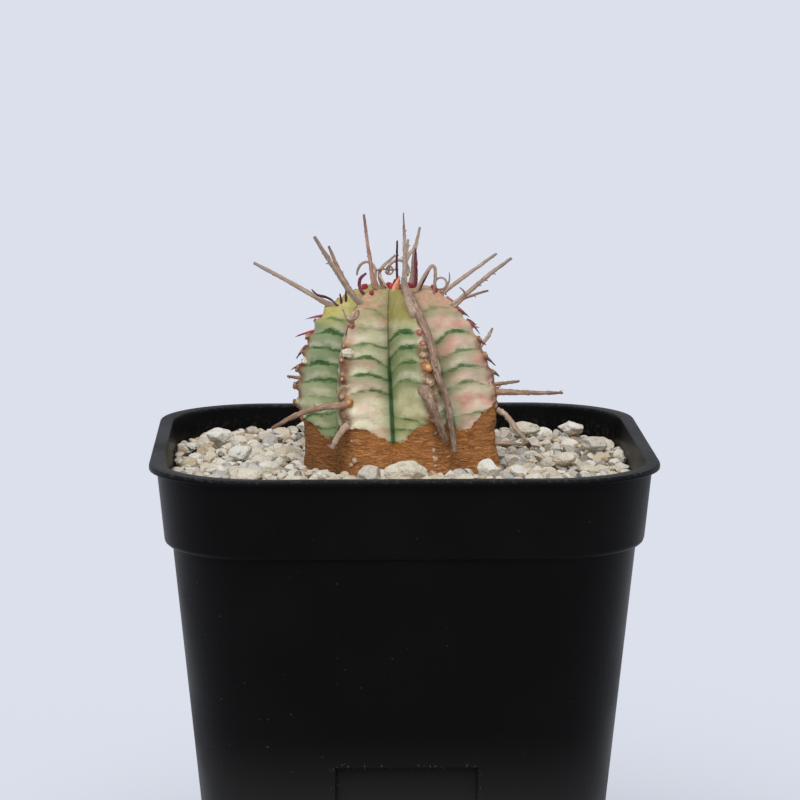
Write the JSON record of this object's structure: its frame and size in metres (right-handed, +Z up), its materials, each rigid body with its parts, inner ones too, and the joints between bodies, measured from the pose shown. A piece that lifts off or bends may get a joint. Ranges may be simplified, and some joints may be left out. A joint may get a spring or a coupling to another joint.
{
  "type": "potted euphorbia",
  "caption": "Ribbed globular euphorbia with dried flower stalks along its crests, rooted in a gravel-topped square plastic nursery pot that tapers to its foot.",
  "frame": {"origin": "centre of the pot's underside, on the surface it stands on", "axes": "+Z up, the pictured side looks towards -Y, +X to its viewer's right"},
  "size_m": [0.07, 0.07, 0.1129],
  "materials": {
    "black_plastic": "injection moulded black polypropylene with a satin sheen, light scuffs and dust",
    "potting_soil": "dark peat and bark mix, damp and crumbly",
    "gravel": "dry cream, white and ochre sub-angular grit, matt and dusty",
    "stem_skin": "waxy matt succulent skin, cream and pale green with dark green bands, pink at the ribs, corky orange-brown at the foot",
    "dry_stalk": "dried, fibrous tan to grey-brown flower stalks, matt",
    "red_stalk": "dried purple-red stalks, matt",
    "perlite": "white, porous and matt"
  },
  "bodies": {
    "root": {"curl_back": "dry_stalk", "curl_centre": "dry_stalk", "curl_left": "dry_stalk", "curl_red": "red_stalk", "curl_right": "dry_stalk", "gravel_bed": "gravel", "pebble_back": "gravel", "pebble_back_corner": "gravel", "pebble_back_left": "gravel", "pebble_back_right": "gravel", "pebble_front": "gravel", "pebble_front_left": "gravel", "pebble_front_right": "gravel", "pebble_left": "gravel", "pebble_left_corner": "gravel", "pebble_left_front": "gravel", "pebble_right": "gravel", "pebble_right_wall": "gravel", "perlite_crumb": "perlite", "pot": "black_plastic", "potting_mix": "potting_soil", "ring_right": "dry_stalk", "stalk_back_high": "dry_stalk", "stalk_back_left": "dry_stalk", "stalk_back_left_level": "dry_stalk", "stalk_back_left_low": "dry_stalk", "stalk_back_level": "dry_stalk", "stalk_back_right": "dry_stalk", "stalk_back_right_level": "dry_stalk", "stalk_back_right_side": "dry_stalk", "stalk_draped": "dry_stalk", "stalk_front_left": "dry_stalk", "stalk_knobbed": "dry_stalk", "stalk_left_long": "dry_stalk", "stalk_left_low": "dry_stalk", "stalk_magenta": "red_stalk", "stalk_right": "dry_stalk", "stalk_right_level": "dry_stalk", "stalk_right_short": "dry_stalk", "stalk_slender": "red_stalk", "stalk_tall_back": "dry_stalk", "stalk_tall_centre": "dry_stalk", "stalk_tall_left": "red_stalk", "stem": "stem_skin", "stub_front": "dry_stalk", "stub_left_low": "dry_stalk", "twig_jointed": "dry_stalk", "twig_left_dark": "red_stalk", "twig_low_right": "red_stalk"}
  },
  "joints": []
}
